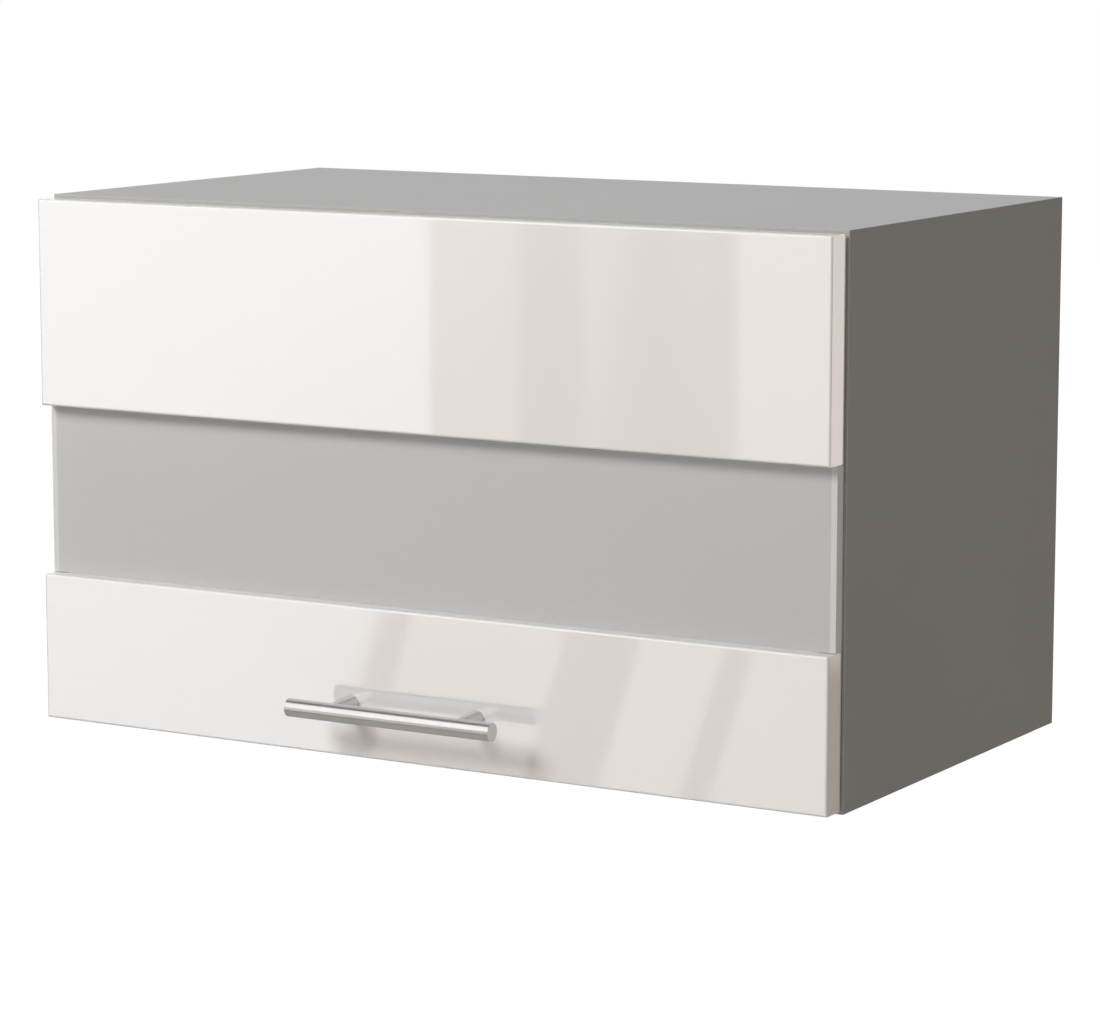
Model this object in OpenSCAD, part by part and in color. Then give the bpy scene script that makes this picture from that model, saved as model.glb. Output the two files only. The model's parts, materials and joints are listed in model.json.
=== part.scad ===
// Lift up wall cabinet: a melamine carcass that hangs on two wall plates, closed by
// one flap of two gloss boards with a satin glass band between them.
//
// X runs along the cabinet's width, Y from the room (-Y) to the wall (+Y), Z up.
// The origin lies on the wall, in the middle of the four hanging screws. The pieces
// are drawn with Z = 0 at the carcass's underside and then lowered by hang_z.

/* [Carcass] */
// Width of the carcass over its two sides
body_w = 600; // [500:1:900]
// Height of the carcass
body_h = 360; // [345:1:420]
// Depth of the carcass from the wall to its front edges
body_d = 322; // [300:1:360]
// Thickness of the side, top and bottom panels
panel_t = 16; // [15:0.5:19]
// Thickness of the bands glued to the front edges
band_t = 0.8; // [0.5:0.1:1.5]
// Thickness of the back panel
back_t = 3; // [2.5:0.5:5]
// Distance from the wall to the back panel
back_inset = 18; // [16:0.5:24]
// Depth of the groove that holds the back panel
groove_depth = 7; // [5:0.5:8]
// Play between the back panel and its groove
groove_play = 0.2; // [0.1:0.05:0.5]

/* [Corner joints] */
// Diameter of a cam lock
cam_d = 15; // [12:0.5:16]
// Height of a cam lock
cam_h = 12.5; // [11:0.5:13.5]
// Distance from a cam lock's centre to the end of its panel
cam_reach = 34; // [24:1:40]
// Diameter of a cam bolt's thread in the side panel
bolt_thread_d = 5; // [4:0.5:6]
// Length of a cam bolt's thread
bolt_thread_len = 11; // [9:0.5:12]
// Diameter of a cam bolt's shank
bolt_shank_d = 6; // [5:0.5:7]
// Diameter of a wooden dowel
dowel_d = 8; // [6:0.5:10]
// Length of a wooden dowel
dowel_len = 30; // [25:1:40]
// Depth of a dowel in the side panel
dowel_side_depth = 11; // [8:0.5:12]
// Distance from a front joint to the carcass's front edge
joint_front = 37; // [30:1:50]
// Distance from a rear joint to the wall
joint_rear = 50; // [45:1:70]
// Distance from a cam bolt to its dowel
dowel_step = 32; // [24:1:40]
// Diameter of a cam cover cap
cap_d = 17; // [16.5:0.5:20]
// Thickness of a cam cover cap
cap_t = 0.8; // [0.5:0.1:1.5]
// Diameter of the peg that holds a cap in its cam lock
cap_peg_d = 5; // [4:0.5:6]
// Length of that peg
cap_peg_len = 1.6; // [1:0.1:2.5]

/* [Flap] */
// Gap between the carcass's front edges and the flap
front_gap = 1.5; // [1.4:0.1:3]
// Thickness of the two front boards
front_t = 19; // [18:0.5:22]
// Reveal left and right of the flap
side_reveal = 1.5; // [1:0.1:3]
// Reveal above the flap
top_reveal = 2; // [1:0.1:4]
// Reveal below the flap
bottom_reveal = 2; // [1:0.1:4]
// Height of the upper board
upper_h = 140; // [125:0.5:160]
// Height of the lower board
lower_h = 100; // [80:0.5:120]
// Radius of the boards' front edges
edge_round = 1.5; // [0.5:0.1:3]
// Radius of the flap's top rear edge, which swings past the carcass
rear_round = 2.5; // [2.3:0.1:4]
// Thickness of the satin glass pane
pane_t = 8; // [6:0.5:9]
// Height of the pane that lies behind each board
pane_lap = 25; // [20:1:32]
// Length by which the boards' rebates stop short of their side edges
pane_stop = 12; // [6:1:20]
// Play around the pane in the boards' rebates
pane_play = 0.3; // [0.1:0.1:0.8]
// Number of screws that hold the pane to each board
pane_screws_n = 4; // [3:1:6]
// Distance from the outer pane screws to the flap's side edges
pane_screw_edge = 44; // [40:1:70]
// Diameter of a pane screw
pane_screw_d = 4; // [3.5:0.5:5]
// Diameter of the washer under a pane screw
pane_washer_d = 12; // [10:0.5:16]
// Thickness of the washer under a pane screw
pane_washer_t = 1; // [0.8:0.1:2]
// Diameter of a stop pad behind the flap
pad_d = 8; // [6:0.5:12]

/* [Handle] */
// Diameter of the handle bar
bar_d = 12; // [10:0.5:14]
// Length of the handle bar
bar_len = 155; // [140:1:200]
// Distance between the two handle posts
post_step = 96; // [64:1:128]
// Distance from the flap's face to the bar's axis
bar_reach = 29; // [24:0.5:36]
// Height of the bar's axis over the carcass's underside
bar_h = 37; // [25:0.5:60]
// Diameter of a post at the flap
post_base_d = 12; // [10:0.5:14]
// Diameter of a post at the bar
post_tip_d = 8; // [7:0.5:10]
// Diameter of the spigot that joins a post to the bar
spigot_d = 6; // [4.5:0.5:6.5]
// Length of the spigot inside the bar
spigot_len = 4; // [3:0.5:6]
// Diameter of a handle screw
handle_screw_d = 4; // [3.5:0.5:5]
// Length of a handle screw inside its post
handle_screw_grip = 14; // [10:0.5:16]

/* [Hinges] */
// Distance from a hinge's middle to the carcass's outer side
hinge_from_side = 100; // [80:1:140]
// Diameter of a hinge cup
cup_d = 35; // [34:0.5:36]
// Depth of a hinge cup in the board
cup_depth = 12.8; // [12.8:0.1:13.5]
// Wall of a hinge cup
cup_wall = 0.8; // [0.6:0.1:1]
// Distance from a hinge cup to the flap's top edge
cup_edge = 3; // [3:0.1:4]
// Thickness of a cup's flange
flange_t = 1; // [0.8:0.1:1.1]
// Distance between the two screws of a cup's flange
flange_step = 48; // [45:0.5:52]
// Diameter of a hinge pin
hinge_pin_d = 2.4; // [2:0.1:2.6]
// Wall of the hinge arm's eye around its pin
eye_wall = 1; // [0.8:0.1:1.1]
// Width of a hinge arm's neck
neck_w = 10; // [8:0.5:10.5]
// Thickness of that neck
neck_t = 3.6; // [3:0.1:4]
// Thickness of a hinge arm
arm_t = 3; // [2.5:0.1:4]
// Length of a hinge arm inside the carcass
arm_len = 60; // [56:1:80]
// Height of a hinge's mounting plate
plate_h = 4.8; // [4.6:0.1:6]
// Distance from the mounting plate's screws to the carcass's front edge
plate_line = 37; // [32:1:44]
// Distance between the two screws of a mounting plate
plate_step = 32; // [28:1:40]
// Diameter of a mounting plate's screws
plate_screw_d = 5; // [4:0.5:6]
// Thickness of a mounting plate's two wings
wing_t = 2; // [1.5:0.1:3]
// Width of a mounting plate's wings and of its rib
rib_w = 12; // [10:0.5:16]
// Distance from the carcass's front edge to the front of a plate's rib
rib_front = 14; // [12:0.5:18]
// Thickness of a hinge arm's two side flanges
arm_side_t = 1.8; // [1.2:0.1:2.5]
// Diameter of a hinge arm's fixing and adjusting screws
arm_screw_d = 4; // [3:0.5:5]
// Distance from the ends of a hinge arm's flanges to its screws
arm_screw_in = 9; // [7:0.5:11]
// Diameter of the screws that hold a cup in the board
cup_screw_d = 3.5; // [3:0.5:4.5]
// Length of those screws in the board
cup_screw_bite = 12; // [9:0.5:14]
// Distance from a cup's middle down to its flange's screws
flange_drop = 9.5; // [8:0.5:11]
// Distance from a cup's upper edge down to its pin
pin_in_cup = 3.6; // [3.4:0.1:4.5]

/* [Lift stays] */
// Thickness of a stay's spring housing
box_t = 16; // [14:0.5:20]
// Length of a spring housing, front to back
box_len = 86; // [80:1:110]
// Height of a spring housing
box_h = 76; // [70:1:90]
// Distance from a spring housing to the carcass's front edge
box_setback = 22; // [18:1:40]
// Gap between a spring housing and the top panel
box_drop = 8; // [4:1:12]
// Wall of a spring housing
box_wall = 2; // [1.5:0.1:3]
// Thickness of a spring housing's cover
cover_t = 2; // [1.5:0.1:3]
// Distance from a housing's front to its shaft
shaft_back = 50; // [46:1:52]
// Distance from a housing's bottom to its shaft
shaft_up = 40; // [36:1:42]
// Diameter of a stay's shaft
shaft_d = 10; // [8:0.5:12]
// Thickness of a stay's arm and link
stay_t = 3; // [2.5:0.1:4]
// Width of a stay's arm
stay_w = 16; // [14:0.5:20]
// Width of a stay's link
link_w = 14; // [12:0.5:18]
// Depth by which a stay's straight part is drawn in from its ends, on each side
stay_waist = 0.8; // [0.4:0.1:2]
// Diameter of the pins at a stay's knee and at the flap
stay_pin_d = 6; // [5:0.5:7]
// Distance from the flap's rear face to the stay's pin on it
stay_pin_back = 22; // [18:0.5:26]
// Distance from the hinge pins down to the stay's pin on the flap
stay_pin_drop = 72; // [64:1:78]
// Clearance around the pin where the stay's link meets the flap
open_pin_play = 0.3; // [0.2:0.05:0.5]
// Radius of a spring's outer turn
spring_r = 30; // [26:0.5:32]
// Diameter of the bosses and screws' heads in the corners of a spring housing
boss_d = 8; // [7:0.5:10]
// Diameter of a spring housing's screws
box_screw_d = 4; // [3:0.5:4.5]
// Length of those screws in the side panel
box_screw_bite = 11; // [9:0.5:12]
// Gap between a spring housing's cover and the stay's arm
arm_gap = 0.5; // [0.3:0.1:1]
// Thickness of the heads of the shaft and the pins
head_t = 1.5; // [1:0.1:1.6]
// Thickness of a flap bracket's base
bracket_t = 2.5; // [2:0.1:3.5]
// Width of a flap bracket's base
bracket_w = 28; // [24:1:34]
// Height of a flap bracket's base
bracket_h = 56; // [52:1:64]
// Distance between a flap bracket's two screws
bracket_step = 38; // [34:1:44]
// Diameter of a flap bracket's screws
bracket_screw_d = 4; // [3.5:0.5:5]
// Length of those screws in the board
bracket_screw_bite = 11.5; // [9:0.5:14]
// Thickness of a spring's strip
spring_strip = 1.4; // [1:0.1:2]
// Width of a spring's strip
spring_w = 8; // [6:0.5:9]
// Turns of a spring
spring_turns = 5; // [3:1:6]

/* [Wall hanging] */
// Distance from the carcass's top to the middle of the hanging screws
hang_drop = 60; // [58:1:90]
// Width of a wall plate
hang_plate_w = 48; // [40:1:60]
// Thickness of a wall plate
hang_plate_t = 2; // [1.5:0.1:2.5]
// Distance from a wall plate's middle to the side panel
hang_plate_in = 28; // [26:1:40]
// Distance between the two screw holes of a wall plate
hang_hole_step = 32; // [24:1:36]
// Diameter of a wall plate's screw holes
hang_hole_d = 7; // [5:0.5:8]
// Distance from the wall to the front of a wall plate's lip
lip_reach = 8; // [7:0.5:10]
// Height of a wall plate's lip
lip_h = 14; // [10:0.5:15]
// Thickness of a hanging hook
hook_t = 3; // [2.5:0.1:4]
// Width of a hanger housing, from the side panel inwards
hanger_w = 20; // [18:0.5:24]
// Length of a hanger housing, front to back
hanger_len = 56; // [52:1:64]
// Height of a hanger housing
hanger_h = 58; // [55:1:60]
// Wall of a hanger housing
hanger_wall = 1.6; // [1.2:0.1:2.2]
// Diameter of a hanger's adjusting screws
hanger_screw_d = 6; // [5:0.5:7]
// Distance from the middle of the hanging screws up to a wall plate's lip
lip_rise = 18; // [17:1:22]
// Distance from the middle of the hanging screws down to a wall plate's lower end
hang_plate_drop = 30; // [24:1:40]
// Length of a hook inside its housing
hook_len = 37; // [30:1:42]
// Height of a hook over the top of the lip
hook_rise = 6; // [4:0.5:8]
// Depth by which a hook's tooth reaches down behind the lip
tooth_h = 8; // [5:0.5:10]
// Thickness of a hook's tooth
tooth_t = 3; // [2:0.5:4]
// Distance from a housing's top down to its lower adjusting screw
lift_screw_drop = 44; // [42:1:50]
// Distance from a hook's top down to the upper adjusting screw
push_screw_drop = 10; // [8:0.5:14]
// Diameter of a hanger's plugs in the side panel
plug_d = 10; // [8:0.5:11]
// Length of a hanger's plugs
plug_len = 11; // [8:0.5:12]
// Distance between a hanger's two plugs
plug_step = 32; // [28:1:34]
// Distance from a housing's rear to its rear plug
plug_in = 12; // [8:0.5:14]

/* [Hidden] */

$fn = 64;

// Length by which a cut runs past the face that it opens
past = 1;
// Clearance between neighbours that don't touch
slack = 0.3;
// Clearance of a shaft or pin that turns in its hole
run_play = 0.06;
// Clearance of a piece that is pushed into its bore
snug = 0.05;
// Height of the screws' flat heads, and their width in diameters of the thread
flat_head_h = 1.6;
head_ratio = 2;
// Cross recess in those heads: width of its arms, their length and depth as shares of
// the head's width and height
recess_w = 1;
recess_span = 0.6;
recess_depth = 0.5;
// Length of the adjusting screws that carry the hooks
hanger_screw_len = 46;
// Clearance between a hook and the lip that it hangs on
hook_play = 0.4;
// Width of the back panel's slot for a hook, and the play above and below it
hook_slot_w = 14;
hook_slot_play = 3;
// Length of a mounting plate's screws in the top panel
plate_screw_bite = 11;
// Radius of the two screw tabs of a hinge cup's flange, width of its rim round the cup,
// and its height over the pin
tab_r = 7;
flange_rim = 2;
flange_over_pin = 1.5;
// Play between the flanges of a hinge arm and the rib of its plate
rib_play = 0.2;
// Thickness that a mounting plate keeps above the hinge arm's screws
plate_roof = 0.8;
// Rims of the heads of the stays' shafts and pins
shaft_rim = 3;
pin_rim = 2;
// Play round a shaft or screw that only passes through a piece, and room past its end
through_play = 0.5;
end_room = 1;
// Share of the board in front of the pane that the pane screws go into
bite_share = 0.7;
// Distance from a hanger housing's rear to the neck of its hook
hook_neck_in = 4;
// Length by which a handle spigot runs on inside its post
spigot_root = 2;
// Steps in one turn of a spring
turn_steps = 36;
// Length of a cam bolt's head, and the clearances round it and round its shank
bolt_head_len = 4;
cam_slot_play = 0.8;
bolt_bore_play = 1;
// Sides of the cabinet: 1 is the right side, -1 the left
SIDES = [-1, 1];

// Carcass
side_in = body_w / 2 - panel_t;         // inner face of the right side panel
front_edge = -body_d;                   // front of the carcass, bands included
core_d = body_d - band_t;               // depth of the panels without their bands
back_front = -(back_inset + back_t);    // front face of the back panel
ceiling = body_h - panel_t;             // underside of the top panel
joint_ys = [front_edge + joint_front, -joint_rear];
dowel_ys = [front_edge + joint_front + dowel_step, -joint_rear - dowel_step];

// Flap
flap_rear = front_edge - front_gap;     // rear face of the boards and the pane
flap_face = flap_rear - front_t;        // front face of the boards
flap_w = body_w - 2 * side_reveal;
flap_top = body_h - top_reveal;
flap_bottom = bottom_reveal;
upper_bottom = flap_top - upper_h;
lower_top = flap_bottom + lower_h;
pane_low = lower_top - pane_lap;
pane_high = upper_bottom + pane_lap;
pane_screw_span = flap_w - 2 * pane_screw_edge;
pane_screw_xs = [for (i = [0 : pane_screws_n - 1])
    -pane_screw_span / 2 + pane_screw_span * i / (pane_screws_n - 1)];
pane_screw_zs = [lower_top - pane_lap / 2, upper_bottom + pane_lap / 2];
pane_screw_bite = (front_t - pane_t) * bite_share;
pane_lap_w = flap_w - 2 * (pane_stop + pane_play);

// Hinge: the pin lies in the cup, close to the flap's top rear edge
eye_r = hinge_pin_d / 2 + eye_wall;
pin_y = flap_rear - (cup_depth - cup_wall - eye_r - slack);
pin_z = flap_top - cup_edge - pin_in_cup;
cup_z = flap_top - cup_edge - cup_d / 2;
cup_r_in = cup_d / 2 - cup_wall;
flange_z = cup_z - flange_drop;
hinge_x = body_w / 2 - hinge_from_side;
arm_top = ceiling - plate_h;
ear_t = 1.4;
ear_in = neck_w / 2 + slack;
arm_back = front_edge + arm_len;
rib_y = front_edge + rib_front;
arm_screw_ys = [rib_y + arm_screw_in, arm_back - arm_screw_in];
arm_screw_bite = plate_h - plate_roof - slack;
plate_y = front_edge + plate_line;

// Lift stay: a parallel linkage. The arm runs parallel to the line from the hinge pin
// to the flap's pin, and the link parallel to the line from the shaft to the hinge pin.
box_front = front_edge + box_setback;
box_top = ceiling - box_drop;
box_bottom = box_top - box_h;
shaft = [box_front + shaft_back, box_bottom + shaft_up];
flap_pin = [flap_rear + stay_pin_back, pin_z - stay_pin_drop];
knee = shaft + flap_pin - [pin_y, pin_z];
arm_in = box_t + cover_t + arm_gap;     // distances from the side panel's inner face
link_in = arm_in + stay_t + slack;
head_in = link_in + stay_t + slack;
stay_head_d = stay_pin_d + 2 * pin_rim;
box_bosses = [
    for (y = [box_front + boss_d, box_front + box_len - boss_d])
        for (z = [box_bottom + boss_d, box_top - boss_d]) [y, z]
];
bracket_zs = [flap_pin[1] - bracket_step / 2, flap_pin[1] + bracket_step / 2];
bracket_x = side_in - arm_in - stay_t;  // inner face of a bracket's ear
bracket_screw_x = bracket_x - bracket_w / 2;

// Wall hanging
hang_z = body_h - hang_drop;
lip_low = hang_z + lip_rise;
lip_top = lip_low + lip_h;
hook_top = lip_top + hook_rise;
hook_front = -(back_inset + back_t) - slack - hook_len;
hanger_rear = back_front - slack;
hanger_front = hanger_rear - hanger_len;
hanger_top = ceiling - slack;
hanger_mid = side_in - hanger_w / 2;
lift_screw_z = hanger_top - lift_screw_drop;
push_screw_z = hook_top - push_screw_drop;
plug_ys = [hanger_rear - plug_in, hanger_rear - plug_in - plug_step];
plug_z = hanger_top - hanger_h / 2;

// ---------------------------------------------------------------- helpers

// Draws its children on the right side, or mirrored on the left side
module on_side(side) {
    if (side < 0)
        mirror([1, 0, 0]) children();
    else
        children();
}

// Lowers the pieces so that the origin is in the middle of the hanging screws
module hung() {
    translate([0, 0, -hang_z]) children();
}

// A box from its low corner to its high corner
module block(low, high) {
    translate(low) cube(high - low);
}

// A rod along X, starting at x and running towards the right
module rod_x(x, yz, len, d) {
    translate([x, yz[0], yz[1]]) rotate([0, 90, 0]) cylinder(h = len, d = d);
}

// A rod along Y, starting at y and running towards the wall
module rod_y(x, y, z, len, d) {
    translate([x, y, z]) rotate([-90, 0, 0]) cylinder(h = len, d = d);
}

// A rod along Z, starting at z and running up
module rod_z(x, y, z, len, d) {
    translate([x, y, z]) cylinder(h = len, d = d);
}

// A flat bar between two points of the YZ plane, with round ends that stand a little
// wider than its straight part
module flat_bar(x, from, to, w, t) {
    run = to - from;
    rod_x(x, from, t, w);
    rod_x(x, to, t, w);
    translate([x, from[0], from[1]])
        rotate([atan2(run[1], run[0]), 0, 0])
            translate([0, 0, -w / 2 + stay_waist])
                cube([t, norm(run), w - 2 * stay_waist]);
}

// A screw that points up, with its head's seat at z = 0 and a cross recess
module screw(d, len) {
    head_d = head_ratio * d;
    arm = recess_span * head_d;
    difference() {
        union() {
            cylinder(h = len, d = d);
            translate([0, 0, -flat_head_h]) cylinder(h = flat_head_h, d = head_d);
        }
        for (turn = [0, 90])
            rotate([0, 0, turn])
                translate([-arm / 2, -recess_w / 2, -flat_head_h - past])
                    cube([arm, recess_w, recess_depth * flat_head_h + past]);
    }
}

// Removes the square corner outside a quarter round along X. The round's axis is at
// yz, and dy and dz (1 or -1) point to the corner.
module round_x(yz, dy, dz, r, len) {
    difference() {
        translate([-len / 2, yz[0] + (dy < 0 ? -r - past : 0), yz[1] + (dz < 0 ? -r - past : 0)])
            cube([len, r + past, r + past]);
        rod_x(-len / 2 - past, yz, len + 2 * past, 2 * r);
    }
}

// The same along Z, for the boards' side edges
module round_z(x, y, dx, z, r, len) {
    difference() {
        translate([x + (dx < 0 ? -r - past : 0), y - r - past, z])
            cube([r + past, r + past, len]);
        rod_z(x, y, z - past, len + 2 * past, 2 * r);
    }
}

// ---------------------------------------------------------------- carcass

module side_panel(side) {
    color([0.42, 0.40, 0.385]) hung() on_side(side) difference() {
        block([side_in, -core_d, 0], [body_w / 2, 0, body_h]);
        back_groove();
        for (z = [panel_t / 2, body_h - panel_t / 2]) {
            for (y = joint_ys)
                rod_x(side_in - past, [y, z], bolt_thread_len + snug + past, bolt_thread_d + 2 * snug);
            for (y = dowel_ys)
                rod_x(side_in - past, [y, z], dowel_side_depth + snug + past, dowel_d + 2 * snug);
        }
        for (y = plug_ys)
            rod_x(side_in - past, [y, plug_z], plug_len + snug + past, plug_d + 2 * snug);
        for (boss = box_bosses)
            rod_x(side_in - past, boss, box_screw_bite + snug + past, box_screw_d + 2 * snug);
    }
}

// The groove that holds the back panel, cut from all four carcass panels
module back_groove() {
    x = side_in + groove_depth;
    block([-x, back_front - groove_play / 2, panel_t - groove_depth],
          [x, -back_inset + groove_play / 2, ceiling + groove_depth]);
}

// Bores of a top or bottom panel: z is its middle, in_dir points to the cabinet's inside
module corner_bores(z, in_dir) {
    for (side = SIDES) on_side(side) {
        for (y = joint_ys) {
            rod_x(side_in - cam_reach, [y, z], cam_reach + past, bolt_shank_d + 2 * bolt_bore_play);
            translate([side_in - cam_reach, y, z + in_dir * (panel_t / 2 + past)])
                mirror([0, 0, in_dir > 0 ? 1 : 0])
                    cylinder(h = cam_h + past + snug, d = cam_d + 2 * snug);
        }
        for (y = dowel_ys)
            rod_x(side_in - (dowel_len - dowel_side_depth) - snug, [y, z],
                  dowel_len - dowel_side_depth + snug + past, dowel_d + 2 * snug);
    }
}

module top_panel() {
    color([0.42, 0.40, 0.385]) hung() difference() {
        block([-side_in, -core_d, ceiling], [side_in, 0, body_h]);
        back_groove();
        corner_bores(body_h - panel_t / 2, -1);
        for (side = SIDES) on_side(side)
            for (dx = [-1, 1])
                rod_z(hinge_x + dx * plate_step / 2, plate_y, ceiling - past,
                      plate_screw_bite + snug + past, plate_screw_d + 2 * snug);
    }
}

module bottom_panel() {
    color([0.42, 0.40, 0.385]) hung() difference() {
        block([-side_in, -core_d, 0], [side_in, 0, panel_t]);
        back_groove();
        corner_bores(panel_t / 2, 1);
    }
}

module back_panel() {
    x = side_in + groove_depth - groove_play;
    color([0.50, 0.48, 0.46]) hung() difference() {
        block([-x, back_front, panel_t - groove_depth + groove_play],
              [x, -back_inset, ceiling + groove_depth - groove_play]);
        for (side = SIDES) on_side(side)
            block([hanger_mid - hook_slot_w / 2, back_front - past, lip_low - hook_slot_play],
                  [hanger_mid + hook_slot_w / 2, -back_inset + past, hook_top + hook_slot_play]);
    }
}

module edge_band_side(side) {
    color([0.45, 0.43, 0.415]) hung() on_side(side)
        block([side_in, front_edge, 0], [body_w / 2, -core_d, body_h]);
}

module edge_band_across(low, high) {
    color([0.45, 0.43, 0.415]) hung()
        block([-side_in, front_edge, low], [side_in, -core_d, high]);
}

// ---------------------------------------------------------------- corner joints

// Draws its children at each cam lock: the lock's face is at z = 0 and it runs up from
// there, and the end of its panel is towards +X
module at_cams() {
    for (side = SIDES) on_side(side)
        for (y = joint_ys) {
            translate([side_in - cam_reach, y, ceiling]) children();
            translate([side_in - cam_reach, y, panel_t]) mirror([0, 0, 1]) children();
        }
}

module cam_locks() {
    color([0.72, 0.72, 0.70]) hung() at_cams() difference() {
        cylinder(h = cam_h, d = cam_d);
        // The slot for the bolt's head runs from the middle out to the panel's end
        rod_x(-bolt_head_len, [0, panel_t / 2], cam_d, bolt_shank_d + 2 * cam_slot_play);
        translate([0, 0, -past])
            cylinder(h = cap_peg_len + slack + past, d = cap_peg_d + slack);
    }
}

module cam_bolts() {
    color([0.75, 0.73, 0.65]) hung() at_cams() {
        rod_x(-bolt_head_len / 4, [0, panel_t / 2], cam_reach + bolt_head_len / 4, bolt_shank_d);
        rod_x(cam_reach, [0, panel_t / 2], bolt_thread_len, bolt_thread_d);
    }
}

module cam_caps() {
    color([0.45, 0.43, 0.415]) hung() at_cams() {
        translate([0, 0, -cap_t]) cylinder(h = cap_t, d = cap_d);
        cylinder(h = cap_peg_len, d = cap_peg_d);
    }
}

module wood_dowels() {
    color([0.80, 0.64, 0.42]) hung()
        for (side = SIDES) on_side(side)
            for (z = [panel_t / 2, body_h - panel_t / 2])
                for (y = dowel_ys)
                    rod_x(side_in + dowel_side_depth - dowel_len, [y, z], dowel_len, dowel_d);
}

// ---------------------------------------------------------------- wall hanging

module hanger_housing(side) {
    inner = side_in - hanger_w;
    color([0.88, 0.88, 0.86]) hung() on_side(side) {
        difference() {
            block([inner, hanger_front, hanger_top - hanger_h], [side_in, hanger_rear, hanger_top]);
            block([inner + hanger_wall, hanger_front + hanger_wall, hanger_top - hanger_h + hanger_wall],
                  [side_in - hanger_wall, hanger_rear + past, hanger_top - hanger_wall]);
            for (z = [lift_screw_z, push_screw_z])
                rod_y(hanger_mid, hanger_front - past, z, hanger_wall + 2 * past,
                      hanger_screw_d + 2 * run_play);
        }
        for (y = plug_ys)
            rod_x(side_in, [y, plug_z], plug_len, plug_d);
    }
}

// The lower screw carries the hook, the upper one pushes it towards the wall
module hanger_screws() {
    color([0.75, 0.73, 0.65]) hung()
        for (side = SIDES) on_side(side) {
            translate([hanger_mid, hanger_front, lift_screw_z]) rotate([-90, 0, 0])
                screw(hanger_screw_d, hanger_screw_len);
            translate([hanger_mid, hanger_front, push_screw_z]) rotate([-90, 0, 0])
                screw(hanger_screw_d, hook_front - hanger_front);
        }
}

module hanging_hook(side) {
    foot = lift_screw_z + hanger_screw_d / 2;
    neck = hanger_rear - hook_neck_in;
    lip_front = -lip_reach - hook_play;
    tooth_front = -(lip_reach - hang_plate_t) + hook_play;
    tooth_back = tooth_front + tooth_t;
    color([0.72, 0.73, 0.74]) hung() on_side(side)
        translate([hanger_mid - hook_t / 2, 0, 0])
            rotate([90, 0, 90]) linear_extrude(height = hook_t)
                polygon([
                    [hook_front, foot], [neck, foot], [neck, lip_low],
                    [lip_front, lip_low], [lip_front, lip_top],
                    [tooth_front, lip_top], [tooth_front, lip_top - tooth_h],
                    [tooth_back, lip_top - tooth_h], [tooth_back, hook_top],
                    [hook_front, hook_top]
                ]);
}

module wall_plate(side) {
    mid = side_in - hang_plate_in;
    color([0.72, 0.73, 0.74]) hung() on_side(side) difference() {
        translate([mid - hang_plate_w / 2, 0, 0])
            rotate([90, 0, 90]) linear_extrude(height = hang_plate_w)
                polygon([
                    [0, hang_z - hang_plate_drop], [0, lip_low + hang_plate_t],
                    [-lip_reach + hang_plate_t, lip_low + hang_plate_t],
                    [-lip_reach + hang_plate_t, lip_top], [-lip_reach, lip_top],
                    [-lip_reach, lip_low], [-hang_plate_t, lip_low],
                    [-hang_plate_t, hang_z - hang_plate_drop]
                ]);
        for (dz = [-1, 1])
            rod_y(mid, -hang_plate_t - past, hang_z + dz * hang_hole_step / 2,
                  hang_plate_t + 2 * past, hang_hole_d);
    }
}

// ---------------------------------------------------------------- hinges

// Moves its children from a hinge's middle to the right or left hinge
module at_hinge(side) {
    hung() on_side(side) translate([hinge_x, 0, 0]) children();
}

module hinge_plate(side) {
    wing = plate_step / 2 + plate_screw_d * 2;
    color([0.74, 0.74, 0.75]) at_hinge(side) difference() {
        union() {
            block([-wing, plate_y - rib_w / 2, ceiling - wing_t], [wing, plate_y + rib_w / 2, ceiling]);
            block([-rib_w / 2, rib_y, arm_top], [rib_w / 2, arm_back, ceiling]);
        }
        for (dx = [-1, 1])
            rod_z(dx * plate_step / 2, plate_y, ceiling - wing_t - past, wing_t + 2 * past,
                  plate_screw_d + 2 * snug);
        for (y = arm_screw_ys)
            rod_z(0, y, arm_top - past, arm_screw_bite + slack + past, arm_screw_d + 2 * snug);
    }
}

module hinge_plate_screws() {
    color([0.76, 0.76, 0.77])
        for (side = SIDES) at_hinge(side)
            for (dx = [-1, 1])
                translate([dx * plate_step / 2, plate_y, ceiling - wing_t])
                    screw(plate_screw_d, wing_t + plate_screw_bite);
}

// The arm goes down from its pin inside the cup, then back under the mounting plate
module hinge_arm(side) {
    neck_back = pin_y - eye_r + neck_t;
    low = arm_top - arm_t;
    flange_in = rib_w / 2 + rib_play;
    flange_out = flange_in + arm_side_t;
    color([0.74, 0.74, 0.75]) at_hinge(side) difference() {
        union() {
            rod_x(-neck_w / 2, [pin_y, pin_z], neck_w, 2 * eye_r);
            block([-neck_w / 2, pin_y - eye_r, low], [neck_w / 2, neck_back, pin_z]);
            block([-neck_w / 2, pin_y - eye_r, low], [neck_w / 2, arm_back, arm_top]);
            block([-flange_out, rib_y, low], [flange_out, arm_back, arm_top]);
            // Side flanges, which guide the arm along the plate's rib
            for (dx = [-1, 1])
                block([min(dx * flange_in, dx * flange_out), rib_y, low],
                      [max(dx * flange_in, dx * flange_out), arm_back, ceiling - wing_t - slack]);
        }
        rod_x(-neck_w, [pin_y, pin_z], 2 * neck_w, hinge_pin_d + 2 * run_play);
        for (y = arm_screw_ys)
            rod_z(0, y, low - past, arm_t + 2 * past, arm_screw_d + 2 * snug);
    }
}

module hinge_arm_screws() {
    color([0.76, 0.76, 0.77])
        for (side = SIDES) at_hinge(side)
            for (y = arm_screw_ys)
                translate([0, y, arm_top - arm_t])
                    screw(arm_screw_d, arm_t + arm_screw_bite);
}

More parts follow.
